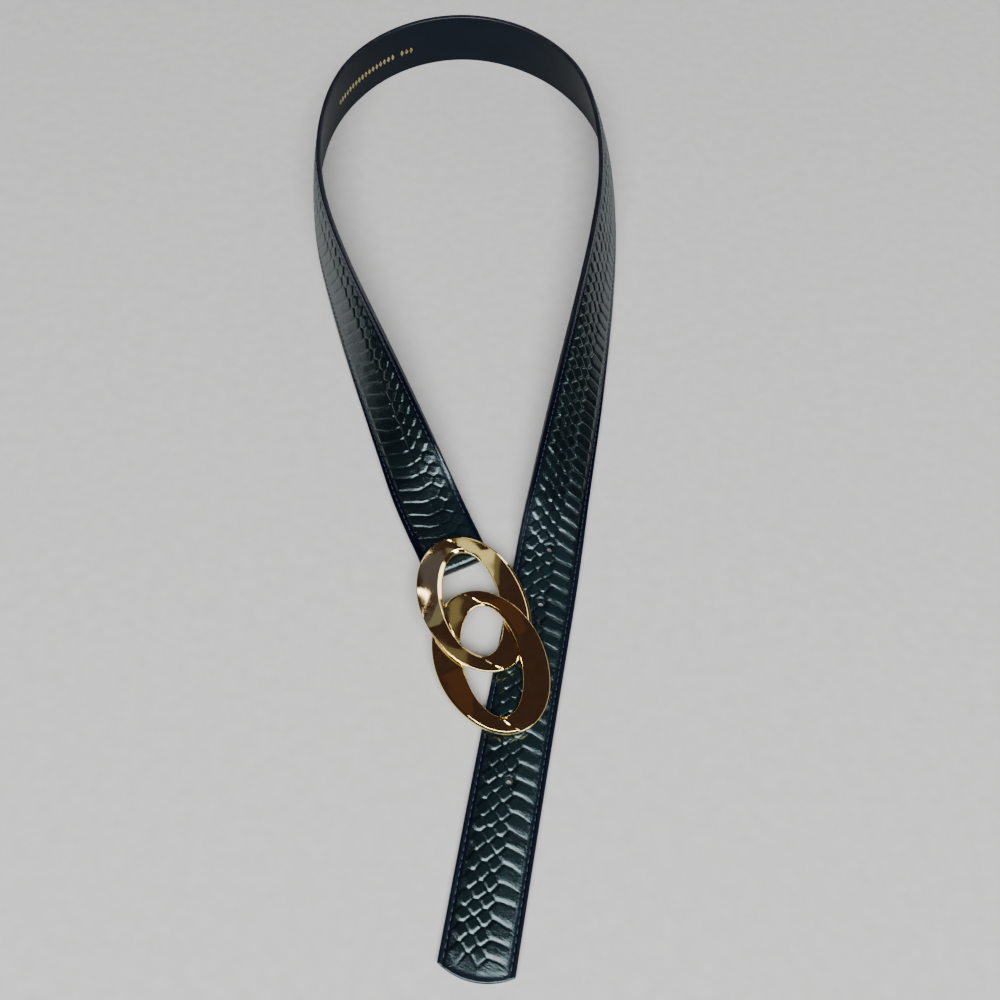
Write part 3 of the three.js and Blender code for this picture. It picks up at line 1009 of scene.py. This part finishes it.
def stitch_places():
    """Along, across and direction of every stitch on one side of the strap."""
    places = []
    count = int((STRAP_LENGTH - 12) / STITCH_PITCH)
    for side in (-1, 1):
        for i in range(count):
            places.append((7.0 + STITCH_PITCH * i, side * STITCH_LINE, 0.0))
    inset = 2.1
    radius = TIP_RADIUS - inset
    for i in range(-3, 4):
        angle = i * STITCH_PITCH / radius
        from_tip = inset + radius * (1 - math.cos(angle))
        places.append((from_tip, radius * math.sin(angle), angle + math.pi / 2))
    return [place for place in places if place[0] < STRAP_LENGTH - 20]


def stitches(name, height, inside):
    """Short lengths of thread that rise from one needle hole and dip into the next."""
    half_profile = [(0.5, 0.0), (0.46, 0.6), (0.3, 1.0)]
    profile = [(-u, fat) for u, fat in half_profile] + [(0.0, 1.08)] + half_profile[::-1]
    sides = THREAD_SIDES
    angles = np.arange(sides) * 2 * math.pi / sides
    jitter = np.random.default_rng(SEED + 3)
    points = []
    faces = []
    for along, across, turn in stitch_places():
        if inside and along > LINING_END - 3:
            continue
        length = STITCH_LENGTH * jitter.uniform(0.94, 1.06)
        slope = jitter.normal(0, 0.05)
        first = len(points)
        for share, fat in profile:
            u = share * length
            for angle in angles:
                v = math.cos(angle) * THREAD_RADIUS * max(fat, 0.15) + slope * u
                up = math.sin(angle) * THREAD_RADIUS * max(fat, 0.15) + 0.1 * (fat - 1)
                points.append(
                    (
                        along + u * math.cos(turn) - v * math.sin(turn),
                        across + u * math.sin(turn) + v * math.cos(turn),
                        up,
                    )
                )
        for i in range(len(profile) - 1):
            for j in range(sides):
                k = (j + 1) % sides
                here = first + i * sides
                faces.append([here + j, here + sides + j, here + sides + k, here + k])
        faces.append([first + j for j in range(sides)])
        faces.append([first + (len(profile) - 1) * sides + j for j in range(sides - 1, -1, -1)])
    points = np.array(points)
    level = height + (-points[:, 2] if inside else points[:, 2])
    placed = strap_points(points[:, 0], points[:, 1], level)
    return make_object(name, placed, faces, THREAD, 60)


def foil_row():
    """A plain row of small lozenges in gold foil on the lining."""
    places = [start + FOIL_PITCH * i for start, count in FOIL_GROUPS for i in range(count)]
    outline = [(-FOIL_HALF_LONG, 0), (0, -FOIL_HALF_WIDE), (FOIL_HALF_LONG, 0), (0, FOIL_HALF_WIDE)]
    points = []
    faces = []
    for along in places:
        first = len(points)
        for level in FOIL_LEVELS:
            for du, dv in outline:
                points.append((along + du, FOIL_ACROSS + dv, level))
        a, b = first, first + 4
        faces.append([a, a + 1, a + 2, a + 3])
        faces.append([b + 3, b + 2, b + 1, b])
        for j in range(4):
            k = (j + 1) % 4
            faces.append([a + k, a + j, b + j, b + k])
    points = np.array(points)
    placed = strap_points(points[:, 0], points[:, 1], points[:, 2])
    return make_object("lining_foil_row", placed, faces, FOIL, 30)


# Buckle
def axis_of_buckle():
    turn = math.radians(LINK_OUTER[2])
    return -math.sin(turn), math.cos(turn)


AXIS = axis_of_buckle()
BUCKLE_CENTRE = (
    (UPPER_CENTRE[0] + LOWER_CENTRE[0]) / 2,
    (UPPER_CENTRE[1] + LOWER_CENTRE[1]) / 2,
)

# Face of a link from its rim to its hole: share of the band, height over the middle plane
RIDGE_BY_HOLE = [(0.0, 0.6), (0.82, 1.3), (1.0, 0.3)]
RIDGE_BY_RIM = [(0.0, 0.5), (0.12, 1.2), (1.0, 0.4)]
RIDGE_SOFTNESS = 0.010
RIM_ROUNDING = 0.035
RIM_DROP = 0.3
FACE_SWELL = 0.05

# Where one side's face takes over from the other, from the rim to the hole, in degrees
TURNOVER_FROM = 3.0
TURNOVER_TO = 15.0


def band_height(x, y, centre, high_side):
    up = (x - BUCKLE_CENTRE[0]) * AXIS[0] + (y - BUCKLE_CENTRE[1]) * AXIS[1]
    right = (x - centre[0]) * AXIS[1] - (y - centre[1]) * AXIS[0]
    free = -high_side * ((x - centre[0]) * AXIS[0] + (y - centre[1]) * AXIS[1])
    crossing = smooth((TILT_FROM - free) / (TILT_FROM - TILT_FULL))
    return BUCKLE_HEIGHT + BUCKLE_RISE * up + high_side * LINK_TILT * crossing * right


def on_oval(centre, oval, angle):
    up = oval[0] * np.cos(angle)
    right = oval[1] * np.sin(angle)
    turn = math.radians(oval[2])
    x = centre[0] - up * math.sin(turn) + right * math.cos(turn)
    y = centre[1] + up * math.cos(turn) + right * math.sin(turn)
    return x, y


def ridge(section, across):
    """Height of a face with its ridge slightly rounded."""
    places = [row[0] for row in section]
    heights = [row[1] for row in section]
    offsets = np.linspace(-RIDGE_SOFTNESS, RIDGE_SOFTNESS, 5)
    return sum(np.interp(across + o, places, heights) for o in offsets) / len(offsets)


def link_top(across, angle, high_side):
    """Height of the face over a link's middle plane."""
    near_rim = np.clip(across / RIDGE_BY_HOLE[1][0], 0, 1)
    near_hole = np.clip((1 - across) / (1 - RIDGE_BY_RIM[1][0]), 0, 1)
    by_hole = ridge(RIDGE_BY_HOLE, across) + FACE_SWELL * np.sin(np.pi * near_rim)
    by_rim = ridge(RIDGE_BY_RIM, across) + FACE_SWELL * np.sin(np.pi * near_hole)
    right, left = (by_hole, by_rim) if high_side > 0 else (by_rim, by_hole)
    degrees = np.degrees(angle)
    turned = (degrees - TURNOVER_FROM) / (TURNOVER_TO - TURNOVER_FROM)
    start = smooth((turned - across) / 0.07 + 0.5)
    turned = (degrees - 180 - TURNOVER_FROM) / (TURNOVER_TO - TURNOVER_FROM)
    end = smooth((turned - across) / 0.07 + 0.5)
    again = (degrees - 360 - TURNOVER_FROM) / (TURNOVER_TO - TURNOVER_FROM)
    restart = smooth((again - across) / 0.07 + 0.5)
    on_right = start - end + restart
    height = right * on_right + left * (1 - on_right)
    outer = 1 - np.clip(across / RIM_ROUNDING, 0, 1)
    inner = 1 - np.clip((1 - across) / RIM_ROUNDING, 0, 1)
    return height - RIM_DROP * (outer**2 + inner**2)


def link_columns():
    """Places across a link's band, closer together at its rim, its hole and its ridges."""
    return np.concatenate(
        [
            [0, 0.003, 0.008, 0.014, 0.021, 0.028, 0.035],
            np.arange(0.05, 0.10, 0.015),
            np.arange(0.10, 0.142, 0.006),
            np.arange(0.16, 0.79, 0.03),
            np.arange(0.795, 0.845, 0.006),
            np.arange(0.86, 0.96, 0.02),
            [0.965, 0.972, 0.979, 0.986, 0.992, 0.997, 1.0],
        ]
    )


def buckle_link(name, cad_node, centre, high_side):
    across = link_columns()
    under = [(1 - share, depth) for share, depth in LINK_UNDER] + LINK_UNDER[::-1]
    angle = 2 * math.pi * (np.arange(LINK_STEPS) + 0.5) / LINK_STEPS
    middle = (
        centre[0] + high_side * INNER_SHIFT * AXIS[1],
        centre[1] - high_side * INNER_SHIFT * AXIS[0],
    )
    outer = on_oval(centre, LINK_OUTER, angle)
    inner = on_oval(middle, LINK_INNER, angle)
    share = np.concatenate([across, [row[0] for row in under]])
    x = outer[0][:, None] + (inner[0] - outer[0])[:, None] * share
    y = outer[1][:, None] + (inner[1] - outer[1])[:, None] * share
    turns, places = np.meshgrid(angle, across, indexing="ij")
    top = link_top(places, turns, high_side)
    bottom = np.repeat(np.array([[row[1] for row in under]]), len(angle), 0)
    z = band_height(x, y, centre, high_side) + np.concatenate([top, bottom], axis=1)
    rings = np.stack([x, y, z], axis=-1) + SHIFT
    points, faces = tube(rings, True)
    obj = make_object(name, points, faces, GOLD, 40)
    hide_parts(cad_node)
    return obj


def plate_hidden_pieces():
    """The bar and the stud keep their own solids, in the same plating."""
    for name in ("strap_bar", "hook_stud"):
        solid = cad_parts[name]
        solid.data.materials.clear()
        solid.data.materials.append(GOLD)


# Stage
def floor():
    size = 6.0
    mesh = bpy.data.meshes.new("floor")
    mesh.from_pydata(
        [(-size, -size, 0), (size, -size, 0), (size, size, 0), (-size, size, 0)], [], [[0, 1, 2, 3]]
    )
    obj = bpy.data.objects.new("floor", mesh)
    bpy.context.scene.collection.objects.link(obj)
    material, tree, shader = new_material("floor")
    where = node(tree, "ShaderNodeTexCoord").outputs["Object"]
    nap = noise(tree, 160, 3, where)
    colour = ramp(tree, nap, [(0.3, (0.36, 0.344, 0.333)), (0.7, (0.39, 0.373, 0.362))])
    tree.links.new(colour, shader.inputs["Base Color"])
    shader.inputs["Roughness"].default_value = 0.9
    shader.inputs["Specular IOR Level"].default_value = 0.1
    mesh.materials.append(material)


def area_light(name, place, target, size, power, colour=(1, 1, 1), lit=()):
    """A soft panel; with pieces named in lit, it lights those alone."""
    data = bpy.data.lights.new(name, "AREA")
    data.shape = "RECTANGLE"
    data.size = size[0]
    data.size_y = size[1]
    data.energy = power
    data.color = colour
    lamp = bpy.data.objects.new(name, data)
    bpy.context.scene.collection.objects.link(lamp)
    lamp.location = place
    aim = Vector(target) - Vector(place)
    lamp.rotation_mode = "QUATERNION"
    lamp.rotation_quaternion = aim.to_track_quat("-Z", "Y")
    lamp.visible_camera = False
    if lit:
        lamp.light_linking.receiver_collection = bpy.data.collections.new(name + "_lit")
        for piece in lit:
            lamp.light_linking.receiver_collection.objects.link(piece)


def lights(leather, upper, lower):
    """A window in front, a low one far to the right, a dim ceiling, small panels for the gold."""
    cool = (0.93, 0.99, 1.0)
    teal = (0.45, 0.92, 1.0)
    grey = (0.75, 0.9, 1.0)
    blue = (0.35, 0.5, 1.0)
    yellow = (0.95, 1.0, 0.75)
    amber = (1.0, 0.35, 0.02)
    buckle = (0.0, -0.11, 0.01)
    area_light("front_window", (0.0, -1.37, 1.89), (0, -0.24, 0), (2.9, 1.25), 210, cool)
    area_light("far_window", (0.60, 1.15, 0.45), (0, 0.0, 0), (1.0, 0.35), 4, cool)
    area_light("ceiling", (0.8, 0.3, 2.5), (0, -0.1, 0), (2.5, 1.6), 3.4, teal, leather)
    area_light("side_panel", (0.108, -0.04, 0.094), buckle, (0.085, 0.055), 0.06, lit=upper)
    area_light("white_panel", (-0.102, 0.09, 0.357), buckle, (0.045, 0.017), 0.018, lit=upper)
    area_light("grey_panel", (-0.012, 0.06, 0.357), buckle, (0.045, 0.09), 0.0025, grey, upper)
    area_light("blue_panel", (-0.063, 0.052, 0.36), buckle, (0.055, 0.062), 0.0014, blue, upper)
    area_light("warm_panel", (-0.04, 0.02, 1.0), buckle, (0.17, 0.13), 0.055, yellow, upper)
    area_light("warm_halo", (0.0, -0.01, 1.01), buckle, (0.25, 0.17), 0.016, yellow, upper)
    area_light("olive_panel", (-0.07, -0.027, 1.0), buckle, (0.10, 0.055), 0.0032, yellow, lower)
    area_light("amber_panel", (-0.005, 0.0, 0.357), buckle, (0.10, 0.10), 0.001, amber, lower)
    world = bpy.data.worlds.new("studio")
    world.use_nodes = True
    background = world.node_tree.nodes["Background"]
    background.inputs["Color"].default_value = (1.0, 0.62, 0.8, 1)
    background.inputs["Strength"].default_value = 0.042
    bpy.context.scene.world = world


def camera():
    data = bpy.data.cameras.new("camera")
    data.sensor_width = CAMERA_SENSOR
    data.sensor_fit = "HORIZONTAL"
    data.lens = CAMERA_LENS
    data.clip_start = 0.01
    obj = bpy.data.objects.new("camera", data)
    bpy.context.scene.collection.objects.link(obj)
    place = Vector(np.array(CAMERA_PLACE) + SHIFT) * MM
    tilt = Matrix.Rotation(math.radians(CAMERA_TILT), 4, "X")
    roll = Matrix.Rotation(math.radians(CAMERA_ROLL), 4, "Z")
    obj.matrix_world = Matrix.Translation(place) @ tilt @ roll
    bpy.context.scene.camera = obj


face_front = strap_face("snakeskin_front", 0, FACE_CUTS[0])
punch_holes(face_front)
face_bend = strap_face("snakeskin_bend", FACE_CUTS[0], FACE_CUTS[1])
face_rear = strap_face("snakeskin_rear", FACE_CUTS[1], ROUTE_LENGTH)
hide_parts("strap_face")
strap_lining()
painted_edge()
stitches("face_stitches", FACE_THREAD, False)
stitches("lining_stitches", LINING_THREAD, True)
foil_row()
upper_link = buckle_link("link_upper_gold", "link_upper", UPPER_CENTRE, -1)
lower_link = buckle_link("link_lower_gold", "link_lower", LOWER_CENTRE, 1)
plate_hidden_pieces()
floor()
lights([face_front, face_bend, face_rear], [upper_link], [lower_link])
camera()
